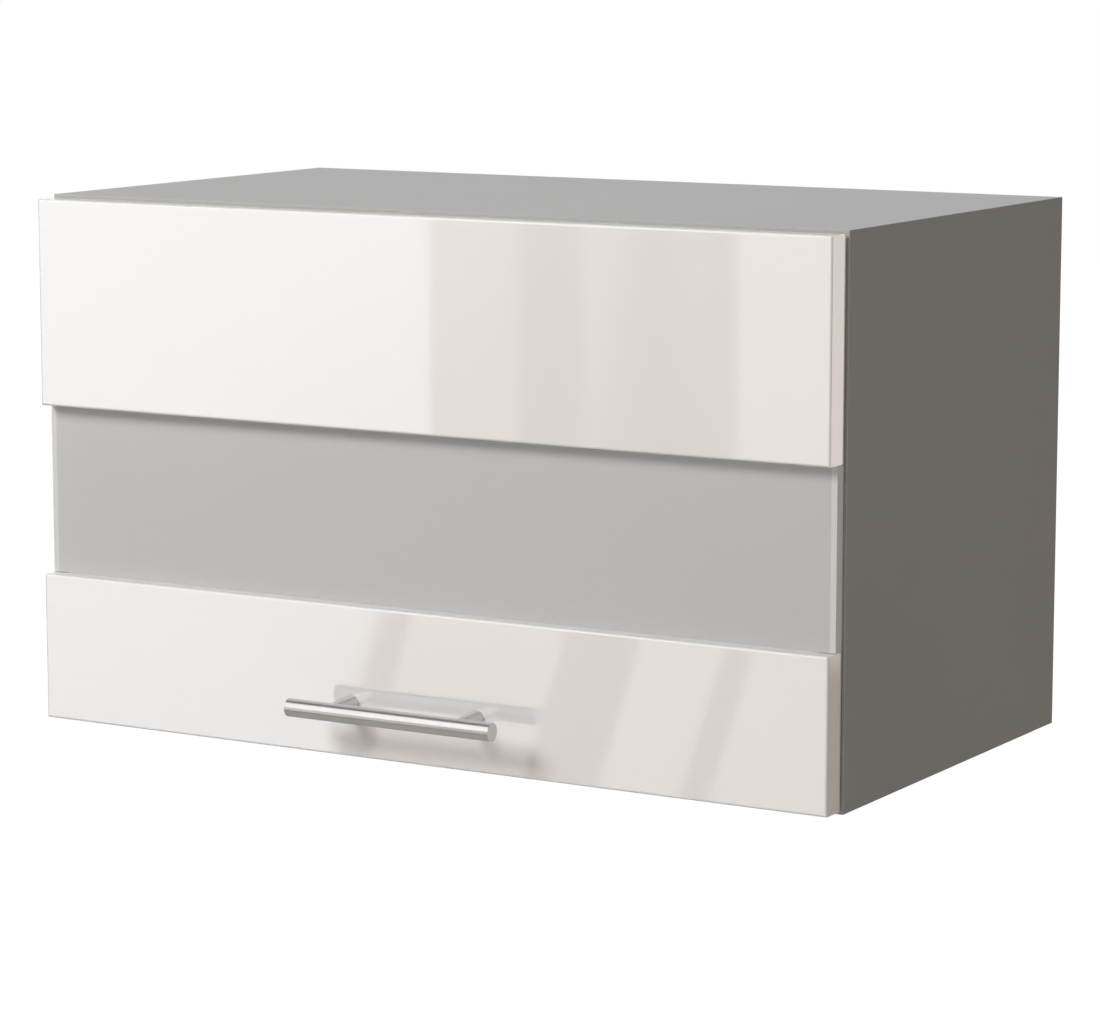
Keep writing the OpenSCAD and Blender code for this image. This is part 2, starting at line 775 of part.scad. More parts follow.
module hinge_cup(side) {
    color([0.78, 0.78, 0.79]) at_hinge(side) difference() {
        union() {
            rod_y(0, flap_rear - cup_depth, cup_z, cup_depth, cup_d);
            intersection() {
                union() {
                    rod_y(0, flap_rear, cup_z, flange_t, cup_d + 2 * flange_rim);
                    for (dx = [-1, 1])
                        rod_y(dx * flange_step / 2, flap_rear, flange_z, flange_t, 2 * tab_r);
                    block([-flange_step / 2, flap_rear, flange_z - tab_r],
                          [flange_step / 2, flap_rear + flange_t, flange_z + tab_r]);
                }
                // The flange ends just above the pin, clear of the carcass when it opens
                block([-flange_step, flap_rear - past, flange_z - cup_d],
                      [flange_step, flap_rear + 2 * flange_t, pin_z + flange_over_pin]);
            }
        }
        difference() {
            rod_y(0, flap_rear - cup_depth + cup_wall, cup_z, cup_depth + 2 * flange_t, cup_r_in * 2);
            // Two ears stand on the cup's floor and hold the pin
            for (dx = [-1, 1])
                block([min(dx * ear_in, dx * (ear_in + ear_t)), flap_rear - cup_depth, pin_z - 2 * eye_r],
                      [max(dx * ear_in, dx * (ear_in + ear_t)), pin_y + eye_r, pin_z + 2 * eye_r]);
        }
        // Notch in the cup's top wall, for the eye and the neck of the arm
        block([-ear_in, pin_y - eye_r - slack, pin_z],
              [ear_in, flap_rear + 2 * flange_t, flap_top]);
        rod_x(-ear_in - ear_t, [pin_y, pin_z], 2 * (ear_in + ear_t), hinge_pin_d);
        for (dx = [-1, 1])
            rod_y(dx * flange_step / 2, flap_rear - past, flange_z, flange_t + 2 * past,
                  cup_screw_d + 2 * snug);
    }
}

module hinge_cup_screws() {
    color([0.76, 0.76, 0.77])
        for (side = SIDES) at_hinge(side)
            for (dx = [-1, 1])
                translate([dx * flange_step / 2, flap_rear + flange_t, flange_z])
                    rotate([90, 0, 0])
                        screw(cup_screw_d, flange_t + cup_screw_bite);
}

module hinge_pins() {
    color([0.70, 0.70, 0.72])
        for (side = SIDES) at_hinge(side)
            rod_x(-ear_in - ear_t, [pin_y, pin_z], 2 * (ear_in + ear_t), hinge_pin_d);
}

// ---------------------------------------------------------------- lift stays

// x of a plane that lies the given distance inwards of the right side panel
function inward(distance) = side_in - distance;

module lift_housing(side) {
    color([0.30, 0.30, 0.31]) hung() on_side(side) difference() {
        union() {
            difference() {
                block([inward(box_t), box_front, box_bottom], [side_in, box_front + box_len, box_top]);
                block([inward(box_t - box_wall), box_front + box_wall, box_bottom + box_wall],
                      [side_in + past, box_front + box_len - box_wall, box_top - box_wall]);
            }
            for (boss = box_bosses)
                rod_x(inward(box_t), boss, box_t, boss_d);
        }
        for (boss = box_bosses)
            rod_x(inward(box_t) - past, boss, box_t + 2 * past, box_screw_d + 2 * snug);
        rod_x(inward(box_t) - past, shaft, box_t, shaft_d + 2 * run_play);
    }
}

module lift_cover(side) {
    color([0.62, 0.62, 0.61]) hung() on_side(side) difference() {
        block([inward(box_t + cover_t), box_front, box_bottom],
              [inward(box_t), box_front + box_len, box_top]);
        rod_x(inward(box_t + cover_t) - past, shaft, cover_t + 2 * past, shaft_d + 2 * through_play);
        for (boss = box_bosses)
            rod_x(inward(box_t + cover_t) - past, boss, cover_t + 2 * past, boss_d + 2 * slack);
    }
}

module lift_housing_screws() {
    color([0.76, 0.76, 0.77]) hung()
        for (side = SIDES) on_side(side)
            for (boss = box_bosses)
                translate([inward(box_t), boss[0], boss[1]]) rotate([0, 90, 0])
                    screw(box_screw_d, box_t + box_screw_bite);
}

// A flat spiral spring around each shaft
module lift_springs() {
    r_in = shaft_d / 2 + slack + spring_strip / 2;
    r_out = spring_r - spring_strip / 2;
    steps = turn_steps * spring_turns;
    function spiral(shift) = [for (i = [0 : steps])
        (r_in + (r_out - r_in) * i / steps + shift)
            * [cos(360 * i / turn_steps), sin(360 * i / turn_steps)]];
    outer = spiral(spring_strip / 2);
    inner = spiral(-spring_strip / 2);
    color([0.55, 0.56, 0.58]) hung()
        for (side = SIDES) on_side(side)
            translate([inward(box_t - box_wall - slack), shaft[0], shaft[1]])
                rotate([90, 0, 90]) linear_extrude(height = spring_w)
                    polygon(concat(outer, [for (i = [steps : -1 : 0]) inner[i]]));
}

module lift_shaft(side) {
    x = inward(arm_in + stay_t);
    color([0.70, 0.70, 0.72]) hung() on_side(side) {
        rod_x(x, shaft, arm_in + stay_t - box_wall, shaft_d);
        rod_x(x - head_t, shaft, head_t, shaft_d + 2 * shaft_rim);
    }
}

module lift_arm(side) {
    x = inward(arm_in + stay_t);
    color([0.72, 0.73, 0.74]) hung() on_side(side) difference() {
        flat_bar(x, shaft, knee, stay_w, stay_t);
        rod_x(x - past, shaft, stay_t + 2 * past, shaft_d);
        rod_x(x - past, knee, stay_t + 2 * past, stay_pin_d);
    }
}

module knee_pin(side) {
    x = inward(head_in + head_t);
    color([0.70, 0.70, 0.72]) hung() on_side(side) {
        rod_x(x, knee, head_in + head_t - arm_in, stay_pin_d);
        rod_x(x, knee, head_t, stay_head_d);
    }
}

module lift_link(side) {
    x = inward(link_in + stay_t);
    color([0.72, 0.73, 0.74]) hung() on_side(side) difference() {
        flat_bar(x, knee, flap_pin, link_w, stay_t);
        rod_x(x - past, knee, stay_t + 2 * past, stay_pin_d + 2 * run_play);
        rod_x(x - past, flap_pin, stay_t + 2 * past, stay_pin_d + 2 * open_pin_play);
    }
}

// An angle screwed to the upper board, with an ear that carries the link's pin
module flap_bracket(side) {
    x = bracket_x;
    low = flap_pin[1] - bracket_h / 2;
    high = flap_pin[1] + bracket_h / 2;
    root = [flap_rear + stay_w / 2, flap_pin[1]];
    color([0.72, 0.73, 0.74]) hung() on_side(side) difference() {
        union() {
            flat_bar(x, root, flap_pin, stay_w, stay_t);
            block([x, flap_rear, low], [x + stay_t, flap_rear + stay_w / 2, high]);
            block([x - bracket_w, flap_rear, low], [x + stay_t, flap_rear + bracket_t, high]);
        }
        rod_x(x - past, flap_pin, stay_t + 2 * past, stay_pin_d);
        for (z = bracket_zs)
            rod_y(bracket_screw_x, flap_rear - past, z, bracket_t + 2 * past,
                  bracket_screw_d + 2 * snug);
    }
}

module flap_bracket_screws() {
    color([0.76, 0.76, 0.77]) hung()
        for (side = SIDES) on_side(side)
            for (z = bracket_zs)
                translate([bracket_screw_x, flap_rear + bracket_t, z]) rotate([90, 0, 0])
                    screw(bracket_screw_d, bracket_t + bracket_screw_bite);
}

module flap_bracket_pins() {
    x = inward(head_in + head_t);
    color([0.70, 0.70, 0.72]) hung()
        for (side = SIDES) on_side(side) {
            rod_x(x, flap_pin, head_in + head_t - arm_in, stay_pin_d);
            rod_x(x, flap_pin, head_t, stay_head_d);
        }
}

// ---------------------------------------------------------------- flap

// A board of the flap from low to high, with round front edges
module board(low, high) {
    y = flap_face + edge_round;
    difference() {
        block([-flap_w / 2, flap_face, low], [flap_w / 2, flap_rear, high]);
        round_x([y, high - edge_round], -1, 1, edge_round, flap_w + 2 * past);
        round_x([y, low + edge_round], -1, -1, edge_round, flap_w + 2 * past);
        for (dx = [-1, 1])
            round_z(dx * (flap_w / 2 - edge_round), y, dx, low - past, edge_round, high - low + 2 * past);
    }
}

// The pane's rebate, which stops short of the board's sides, and its screw holes
module pane_seat(low, high, screw_z) {
    x = flap_w / 2 - pane_stop;
    block([-x, flap_rear - pane_t, low], [x, flap_rear + past, high]);
    for (x = pane_screw_xs)
        rod_y(x, flap_rear - pane_t - pane_screw_bite - snug, screw_z,
              pane_screw_bite + pane_t, pane_screw_d + 2 * snug);
}

module front_board_upper() {
    color([0.96, 0.96, 0.95]) hung() difference() {
        board(upper_bottom, flap_top);
        round_x([flap_rear - rear_round, flap_top - rear_round], 1, 1, rear_round, flap_w + 2 * past);
        pane_seat(upper_bottom - past, pane_high + pane_play, pane_screw_zs[1]);
        for (side = SIDES) on_side(side) {
            rod_y(hinge_x, flap_rear - cup_depth - snug, cup_z, cup_depth + past, cup_d + 2 * snug);
            for (dx = [-1, 1])
                rod_y(hinge_x + dx * flange_step / 2, flap_rear - cup_screw_bite - snug, flange_z,
                      cup_screw_bite + snug + past, cup_screw_d + 2 * snug);
            for (z = bracket_zs)
                rod_y(bracket_screw_x, flap_rear - bracket_screw_bite - snug, z,
                      bracket_screw_bite + snug + past, bracket_screw_d + 2 * snug);
        }
    }
}

module front_board_lower() {
    color([0.96, 0.96, 0.95]) hung() difference() {
        board(flap_bottom, lower_top);
        pane_seat(pane_low - pane_play, lower_top + past, pane_screw_zs[0]);
        for (dx = [-1, 1])
            rod_y(dx * post_step / 2, flap_face - past, bar_h, front_t + 2 * past,
                  handle_screw_d + 2 * through_play);
    }
}

module glass_pane() {
    color([0.75, 0.75, 0.74, 0.8]) hung() difference() {
        union() {
            // The band between the boards, as wide as they are
            block([-flap_w / 2, flap_rear - pane_t, lower_top + pane_play],
                  [flap_w / 2, flap_rear, upper_bottom - pane_play]);
            // Its upper and lower edges, cut back at the sides to fit the rebates
            block([-pane_lap_w / 2, flap_rear - pane_t, pane_low],
                  [pane_lap_w / 2, flap_rear, pane_high]);
        }
        for (x = pane_screw_xs)
            for (z = pane_screw_zs)
                rod_y(x, flap_rear - pane_t - past, z, pane_t + 2 * past,
                      pane_screw_d + 2 * through_play);
    }
}

module pane_screws() {
    color([0.76, 0.76, 0.77]) hung()
        for (x = pane_screw_xs)
            for (z = pane_screw_zs)
                translate([x, flap_rear + pane_washer_t, z]) rotate([90, 0, 0])
                    screw(pane_screw_d, pane_washer_t + pane_t + pane_screw_bite);
}

module pane_washers() {
    color([0.90, 0.90, 0.88]) hung()
        for (x = pane_screw_xs)
            for (z = pane_screw_zs)
                difference() {
                    rod_y(x, flap_rear, z, pane_washer_t, pane_washer_d);
                    rod_y(x, flap_rear - past, z, pane_washer_t + 2 * past, pane_screw_d + 2 * snug);
                }
}

module stop_pads() {
    color([0.85, 0.85, 0.85]) hung()
        for (dx = [-1, 1])
            rod_y(dx * (body_w - panel_t) / 2, flap_rear, flap_bottom + pad_d, front_gap - slack, pad_d);
}

// ---------------------------------------------------------------- handle

bar_axis = [flap_face - bar_reach, bar_h];

module handle_bar() {
    color([0.72, 0.72, 0.70]) hung() difference() {
        rod_x(-bar_len / 2, bar_axis, bar_len, bar_d);
        for (dx = [-1, 1])
            rod_y(dx * post_step / 2, bar_axis[0] + bar_d / 2 - spigot_len, bar_h,
                  bar_d, spigot_d);
    }
}

module handle_post(side) {
    x = post_step / 2;
    color([0.70, 0.70, 0.70]) hung() on_side(side) difference() {
        union() {
            difference() {
                translate([x, flap_face, bar_h]) rotate([90, 0, 0])
                    cylinder(h = bar_reach, d1 = post_base_d, d2 = post_tip_d);
                rod_x(x - post_base_d, bar_axis, 2 * post_base_d, bar_d);
            }
            rod_y(x, bar_axis[0] + bar_d / 2 - spigot_len, bar_h,
                  spigot_len + spigot_root, spigot_d);
        }
        rod_y(x, flap_face - handle_screw_grip - end_room, bar_h,
              handle_screw_grip + end_room + past, handle_screw_d);
    }
}

module handle_screws() {
    color([0.76, 0.76, 0.77]) hung()
        for (dx = [-1, 1])
            translate([dx * post_step / 2, flap_rear, bar_h]) rotate([90, 0, 0])
                screw(handle_screw_d, front_t + handle_screw_grip);
}

// ---------------------------------------------------------------- nodes

side_panel(-1);  // side_panel_left
side_panel(1);  // side_panel_right
top_panel();
bottom_panel();
back_panel();
edge_band_side(-1);  // edge_band_left
edge_band_side(1);  // edge_band_right
edge_band_across(ceiling, body_h);  // edge_band_top
edge_band_across(0, panel_t);  // edge_band_bottom
cam_locks();
cam_bolts();
wood_dowels();
cam_caps();
hanger_housing(-1);  // hanger_housing_left
hanger_housing(1);  // hanger_housing_right
hanging_hook(-1);  // hanging_hook_left
hanging_hook(1);  // hanging_hook_right
hanger_screws();
wall_plate(-1);  // wall_plate_left
wall_plate(1);  // wall_plate_right
hinge_plate(-1);  // hinge_plate_left
hinge_plate(1);  // hinge_plate_right
hinge_plate_screws();
hinge_arm(-1);  // hinge_arm_left
hinge_arm(1);  // hinge_arm_right
hinge_arm_screws();
hinge_cup(-1);  // hinge_cup_left
hinge_cup(1);  // hinge_cup_right
hinge_cup_screws();
hinge_pins();
lift_housing(-1);  // lift_housing_left
lift_housing(1);  // lift_housing_right
lift_cover(-1);  // lift_cover_left
lift_cover(1);  // lift_cover_right
lift_housing_screws();
lift_springs();
lift_shaft(-1);  // lift_shaft_left
lift_shaft(1);  // lift_shaft_right
lift_arm(-1);  // lift_arm_left
lift_arm(1);  // lift_arm_right
lift_link(-1);  // lift_link_left
lift_link(1);  // lift_link_right
knee_pin(-1);  // knee_pin_left
knee_pin(1);  // knee_pin_right
flap_bracket(-1);  // flap_bracket_left
flap_bracket(1);  // flap_bracket_right
flap_bracket_screws();
flap_bracket_pins();
front_board_upper();
front_board_lower();
glass_pane();
pane_screws();
pane_washers();
handle_bar();
handle_post(-1);  // handle_post_left
handle_post(1);  // handle_post_right
handle_screws();
stop_pads();
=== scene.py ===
# %% [markdown]
# # Dressing a lift up wall cabinet
# The cabinet comes in as finished, full-size parts: a melamine box, a flap of two
# gloss boards with a satin glass band between them, a steel bar handle, and the
# hinges, lift stays and hangers that such a cabinet hides. This script gives every
# part its finish, softens its hard edges and sets up a plain studio round it. All
# lengths are metres, X runs along the cabinet, Y towards the wall and Z up.

# %% Load the parts
import json
import math
import bpy
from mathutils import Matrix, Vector


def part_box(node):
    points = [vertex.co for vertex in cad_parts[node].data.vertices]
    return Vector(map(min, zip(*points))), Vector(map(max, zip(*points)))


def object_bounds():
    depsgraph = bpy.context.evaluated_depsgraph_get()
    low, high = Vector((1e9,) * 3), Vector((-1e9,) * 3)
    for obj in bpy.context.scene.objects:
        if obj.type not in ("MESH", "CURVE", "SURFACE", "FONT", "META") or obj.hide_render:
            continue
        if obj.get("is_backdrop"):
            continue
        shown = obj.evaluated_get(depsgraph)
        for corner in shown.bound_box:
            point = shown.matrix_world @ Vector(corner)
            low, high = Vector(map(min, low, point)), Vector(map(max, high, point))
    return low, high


MM = 0.001

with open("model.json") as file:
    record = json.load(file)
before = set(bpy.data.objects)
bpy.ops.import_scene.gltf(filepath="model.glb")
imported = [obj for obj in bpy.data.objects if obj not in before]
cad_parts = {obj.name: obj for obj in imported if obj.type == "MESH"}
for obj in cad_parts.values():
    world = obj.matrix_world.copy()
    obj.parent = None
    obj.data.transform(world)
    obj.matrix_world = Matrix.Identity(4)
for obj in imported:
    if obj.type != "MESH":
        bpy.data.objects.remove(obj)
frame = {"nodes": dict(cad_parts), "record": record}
cad_low, cad_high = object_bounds()
parts = frame["nodes"]
print(f"{len(parts)} parts, {(cad_high - cad_low)[0] / MM:.0f} mm wide")

# %% [markdown]
# ## The camera
# The picture to match was taken from the cabinet's right, a little above its middle.
# The angles, the distance and the lens were worked out from the places of the
# cabinet's corners in it. A long lens from a few steps away keeps edges nearly
# parallel. The camera could be placed by its own coordinates, but here it looks back
# along one direction from a point on the cabinet's front, so that turning it means
# changing one angle.

# %% Camera
AZIMUTH = math.radians(30.58)
ELEVATION = math.radians(8.73)
AIM = Vector((0.0907, -0.322, -0.1277))
DISTANCE = 2.4864
LENS_MM = 128.05
SENSOR_MM = 36.0
NEAREST = 0.05
FARTHEST = 200.0

lens = bpy.data.cameras.new("camera")
lens.lens = LENS_MM
lens.sensor_width = SENSOR_MM
lens.clip_start = NEAREST
lens.clip_end = FARTHEST
camera = bpy.data.objects.new("camera", lens)
bpy.context.scene.collection.objects.link(camera)
back = Vector((
    math.sin(AZIMUTH) * math.cos(ELEVATION),
    -math.cos(AZIMUTH) * math.cos(ELEVATION),
    math.sin(ELEVATION),
))
camera.location = AIM + back * DISTANCE
camera.rotation_mode = "QUATERNION"
camera.rotation_quaternion = (-back).to_track_quat("-Z", "Y")
bpy.context.scene.camera = camera
bpy.context.scene.view_settings.view_transform = "Standard"
print("camera at", [round(c, 3) for c in camera.location])

# %% [markdown]
# ## Writing shaders as sums
# A finish is a small formula: a base colour, plus a little noise, times a mask. Nodes
# can be wired by hand, but a formula reads better as one. `Wire` stands for the value
# that comes out of a node. Adding, subtracting or multiplying wires adds the Math
# node for it, from either side, so `1 - mask` works too.

# %% Wires
class Wire:
    """The value that leaves one socket of a shader node."""

    def __init__(self, nodes, socket):
        self.nodes = nodes
        self.socket = socket

    def maths(self, operation, *others, swapped=False):
        values = (*others, self) if swapped else (self, *others)
        return self.nodes.node("ShaderNodeMath", {"operation": operation}, dict(enumerate(values)))

    def __add__(self, other):
        return self.maths("ADD", other)

    def __radd__(self, other):
        return self.maths("ADD", other, swapped=True)

    def __sub__(self, other):
        return self.maths("SUBTRACT", other)

    def __rsub__(self, other):
        return self.maths("SUBTRACT", other, swapped=True)

    def __mul__(self, other):
        return self.maths("MULTIPLY", other)

    def __rmul__(self, other):
        return self.maths("MULTIPLY", other, swapped=True)

    def step(self, low, high):
        """Rises smoothly from 0 at low to 1 at high."""
        settings = {"interpolation_type": "SMOOTHSTEP"}
        inputs = {"Value": self, "From Min": low, "From Max": high}
        return self.nodes.node("ShaderNodeMapRange", settings, inputs)


print("wires add, subtract, multiply and step")

# %% [markdown]
# ## Any other node
# `Nodes` has one method, `node`, that adds a node of any type with its settings and
# what goes into its sockets. A few short methods name the nodes that every finish
# needs. Colours and vectors go through nodes of their own, because a Math node would
# turn a colour grey.

# %% Node trees
class Nodes:
    """A tree of shader nodes that formulas are written into."""

    def __init__(self, tree):
        self.tree = tree

    def node(self, kind, settings=None, inputs=None, output=0):
        made = self.tree.nodes.new(kind)
        for name, value in (settings or {}).items():
            setattr(made, name, value)
        for name, value in (inputs or {}).items():
            self.feed(made.inputs[name], value)
        return Wire(self, made.outputs[output])

    def feed(self, socket, value):
        if isinstance(value, Wire):
            self.tree.links.new(value.socket, socket)
        elif socket.type == "RGBA":
            socket.default_value = (*value, 1.0)
        else:
            socket.default_value = value

    def place(self, output="Object"):
        """Where a point lies on its part, in metres; Generated gives shares of its box."""
        return self.node("ShaderNodeTexCoord", output=output)

    def axis(self, place, letter):
        return self.node("ShaderNodeSeparateXYZ", inputs={0: place}, output="XYZ".index(letter))

    def noise(self, place, cells, detail, roughness=0.5):
        """Noise with about so many cells to a unit, all ways or one number for each axis."""
        if isinstance(cells, tuple):
            place = self.node("ShaderNodeVectorMath", {"operation": "MULTIPLY"}, {0: place, 1: cells})
            cells = 1.0
        inputs = {"Vector": place, "Scale": cells, "Detail": detail, "Roughness": roughness}
        return self.node("ShaderNodeTexNoise", inputs=inputs)

    def blend(self, mask, first, second):
        """The first colour where mask is 0 and the second where it is 1."""
        inputs = {"Factor": mask, 6: first, 7: second}
        return self.node("ShaderNodeMix", {"data_type": "RGBA"}, inputs, output=2)


print("one method adds any node")

# %% [markdown]
# ## A finish
# Each finish is one material with one Principled shader. What is the same all over,
# such as how clear a plastic is, is set on the shader's own socket. What changes over
# the surface comes in as a wire. Every finish is kept under its own name, for the loop
# that paints the parts. The material can't be found by that name later on, because
# Blender adds a number to it where the parts came in with a material of that name.

# %% Finishes
class Finish(Nodes):
    """A material with one Principled shader, whose constants are set on its sockets."""

    def __init__(self, name, **constants):
        self.name = name
        self.material = bpy.data.materials.new(name)
        self.material.use_nodes = True
        super().__init__(self.material.node_tree)
        self.shader = self.tree.nodes["Principled BSDF"]
        for socket, value in constants.items():
            self.set(socket.replace("_", " "), value)

    def set(self, socket, value):
        self.feed(self.shader.inputs[socket], value)

    def bump(self, height, depth):
        inputs = {"Height": height, "Distance": depth, "Strength": 1.0}
        self.set("Normal", self.node("ShaderNodeBump", inputs=inputs))


finishes = {}


def keep(*made):
    for finish in made:
        finishes[finish.name] = finish.material
    print("made", ", ".join(finish.name for finish in made))


print("finishes can be made and kept")

# %% [markdown]
# ## Melamine
# Melamine board is printed paper under a hard clear resin. It has a fine pebbled
# texture, so it is satin and not glossy, and seen at a low angle its surface mirrors
# what is bright around it, which is why the same board looks pale on top and dark on
# its side. That needs no second colour: a plain roughness gives it. A picture of the
# board could be laid on every panel, but it would show its seams at the corners. A
# noise that is measured in metres has no seams, and the same scale everywhere.

# %% Melamine
MICRON = 0.000001
WARM_GREY = (0.350, 0.332, 0.316)


def tinted(colour, factor):
    return tuple(channel * factor for channel in colour)


def melamine():
    finish = Finish("melamine")
    place = finish.place()
    cloud = finish.noise(place, cells=9.0, detail=2.0)
    pebbles = finish.noise(place, cells=1400.0, detail=2.0)
    finish.set("Base Color", finish.blend(cloud, tinted(WARM_GREY, 0.96), tinted(WARM_GREY, 1.04)))
    finish.set("Roughness", 0.38 + 0.08 * pebbles)
    finish.bump(pebbles, 40 * MICRON)
    return finish


keep(melamine())

# %% [markdown]
# ## Edge bands
# The boards' front edges are closed by a thin plastic strip, glued on hot. It has no pebbles, only
# the faint ripple that it gets when it is drawn out along its length. Its grey is the board's own,
# made paler here: that paleness is painted light, for the stronger light that falls on the front
# edges. The melamine could serve here too, but its pebbles would look wrong on so narrow a strip. A
# noise that is stretched along X gives the ripple.

# %% Edge bands
def edge_band():
    finish = Finish("edge_band")
    ripple = finish.noise(finish.place(), cells=(40.0, 400.0, 400.0), detail=2.0)
    # the board's grey made paler: painted light on the front edges
    finish.set("Base Color", finish.blend(ripple, tinted(WARM_GREY, 1.32), tinted(WARM_GREY, 1.40)))
    finish.set("Roughness", 0.30 + 0.08 * ripple)
    finish.bump(ripple, 20 * MICRON)
    return finish


keep(edge_band())

# %% [markdown]
# ## The back
# The back is thin fibreboard, coated on its inner face and bare brown on the one
# towards the wall. It could carry two materials, one for each face, but one with a
# mask along its thickness needs no picking of faces. Bare fibres are flecked and dull.

# %% Back board
BARE_SKIN = (0.6 * MM, 0.3 * MM)        # the bare face's colour starts and is full so far in
BARE_BROWNS = ((0.115, 0.062, 0.030), (0.205, 0.122, 0.064))


def inwards(face, depths):
    """The places that lie so far in from a face."""
    return [face - depth for depth in depths]


def back_board():
    finish = Finish("back_board")
    place = finish.place()
    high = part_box("back_panel")[1]
    bare = finish.axis(place, "Y").step(*inwards(high.y, BARE_SKIN))
    fibres = finish.noise(place, cells=(260.0, 260.0, 650.0), detail=4.0, roughness=0.65)
    brown = finish.blend(fibres, *BARE_BROWNS)
    coated = finish.blend(fibres, WARM_GREY, tinted(WARM_GREY, 1.08))
    finish.set("Base Color", finish.blend(bare, coated, brown))
    finish.set("Roughness", 0.42 + 0.35 * bare)
    finish.bump(fibres, 80 * MICRON)
    return finish


keep(back_board())

# %% [markdown]
# ## Gloss white boards
# The fronts are fibreboard under a thick polished white lacquer. Lacquer is two
# layers: a white body, and a clear coat that mirrors what stands before it. Streaks
# could be painted on the boards, but they would stay put when the view moves. The
# Principled shader's coat really mirrors. Polished lacquer is never quite flat: a
# very shallow, hand-wide bump makes mirrored edges waver a little, as they do on a
# real front. A finer one would blur them, and the front would look satin instead. The
# back of each board is plain satin white, so a mask along the board's thickness takes
# the coat away there.

# %% Lacquer
REAR_SKIN = (0.8 * MM, 0.2 * MM)        # the coat starts to go and is gone so far in
LACQUER_WHITES = ((0.835, 0.834, 0.828), (0.85, 0.849, 0.844))
REAR_WHITE = (0.78, 0.776, 0.765)


def gloss_white():
    finish = Finish("gloss_white", Roughness=0.32, Coat_Roughness=0.03, Coat_IOR=2.2)
    place = finish.place()
    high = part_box("front_board_upper")[1]
    rear = finish.axis(place, "Y").step(*inwards(high.y, REAR_SKIN))
    white = finish.blend(finish.noise(place, cells=5.0, detail=2.0), *LACQUER_WHITES)
    finish.set("Base Color", finish.blend(rear, white, REAR_WHITE))
    finish.set("Coat Weight", 1.0 - rear)
    finish.bump(finish.noise(place, cells=14.0, detail=1.0), 15 * MICRON)
    return finish


keep(gloss_white())

# %% [markdown]
# ## Satin glass
# The band is float glass etched on its face. Light goes through it but is scattered,
# so the inside of the cabinet shows only as a soft grey. A rough transmission does
# that. Part of the light never gets in: the etched skin throws it back as a pale,
# even veil, which is the part of the shader that doesn't transmit. At the pane's two
# ends light also comes in through the cut edge and lights the last few millimetres.
# Tracing that through thick glass is slow and noisy, so a mask on X paints a paler
# strip there instead.

# %% Glass
PALE_STRIP = (4.5 * MM, 3.5 * MM)       # the paler strip starts and is full so far in
PALE_GLASS = (0.86, 0.86, 0.85)
VEIL_GREYS = ((0.70, 0.696, 0.688), (0.72, 0.716, 0.708))


def satin_glass():
    finish = Finish("satin_glass", Transmission_Weight=0.25, IOR=1.5)
    place = finish.place()
    frost = finish.noise(place, cells=1800.0, detail=2.0)
    veil = finish.blend(finish.noise(place, cells=4.0, detail=1.0), *VEIL_GREYS)
    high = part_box("glass_pane")[1]
    from_middle = finish.axis(place, "X").maths("ABSOLUTE")
    pale_end = from_middle.step(*inwards(high.x, PALE_STRIP))
    finish.set("Base Color", finish.blend(pale_end, veil, PALE_GLASS))
    finish.set("Roughness", 0.50 + 0.10 * frost)
    finish.bump(frost, 20 * MICRON)
    return finish


keep(satin_glass())

# %% [markdown]
# ## Metals
# The handle is brushed along its length: fine scratches run with the bar, so the
# noise is stretched far along X, and its light and dark streaks differ clearly.
# Pressed steel fittings have a thin nickel or zinc plating with a softer, cloudier
# grain, and the cast cam locks are duller. Scratches could be cut into the mesh, but
# they are far too fine to be worth it. All metals share one recipe, and differ in
# colour, in how rough they are, in which way their grain runs and in how strong it
# is. The bump is one to ten microns deep: on bare metal a deeper one looks like
# hammered sheet.

# %% Metal finishes
def metal(name, colour, roughness, grain, depth, spread=0.12, contrast=0.07):
    finish = Finish(name, Metallic=1.0)
    place = finish.place()
    lines = finish.noise(place, cells=grain, detail=4.0, roughness=0.6)
    cloud = finish.noise(place, cells=60.0, detail=2.0)
    shade = 0.6 * lines + 0.4 * cloud
    dark, light = tinted(colour, 1 - contrast), tinted(colour, 1 + contrast)
    finish.set("Base Color", finish.blend(shade, dark, light))
    finish.set("Roughness", (roughness - spread / 2) + spread * lines)
    finish.bump(lines, depth)
    return finish


def brushed_handle():
    scratches = (12.0, 1800.0, 1800.0)
    look = dict(depth=3 * MICRON, spread=0.08, contrast=0.25)
    return metal("brushed_handle", (0.52, 0.515, 0.51), roughness=0.24, grain=scratches, **look)


PLATED_GRAIN = (150.0, 150.0, 150.0)


def nickel_steel():
    colour = (0.64, 0.63, 0.61)
    return metal("nickel_steel", colour, roughness=0.30, grain=PLATED_GRAIN, depth=1 * MICRON)


def zinc_steel():
    colour = (0.60, 0.615, 0.64)
    return metal("zinc_steel", colour, roughness=0.36, grain=PLATED_GRAIN, depth=2 * MICRON)


def cam_zinc():
    cast_grain = (500.0, 500.0, 500.0)
    return metal("cam_zinc", (0.46, 0.46, 0.45), roughness=0.46, grain=cast_grain, depth=10 * MICRON)


def spring_steel():
    rolled = (900.0, 60.0, 60.0)
    return metal("spring_steel", (0.24, 0.25, 0.27), roughness=0.33, grain=rolled, depth=3 * MICRON)


keep(brushed_handle(), nickel_steel(), zinc_steel(), cam_zinc(), spring_steel())

# %% [markdown]
# ## Plastics and rubber
# Moulded plastic carries the fine spark-eroded texture of its tool. The white of the
# hangers, the dark stay housings and their grey covers are the same recipe in other
# colours, and so are the soft clear washers, which also let some light through. Each
# could be written out by itself, but then a change of texture would have to be made
# in each.

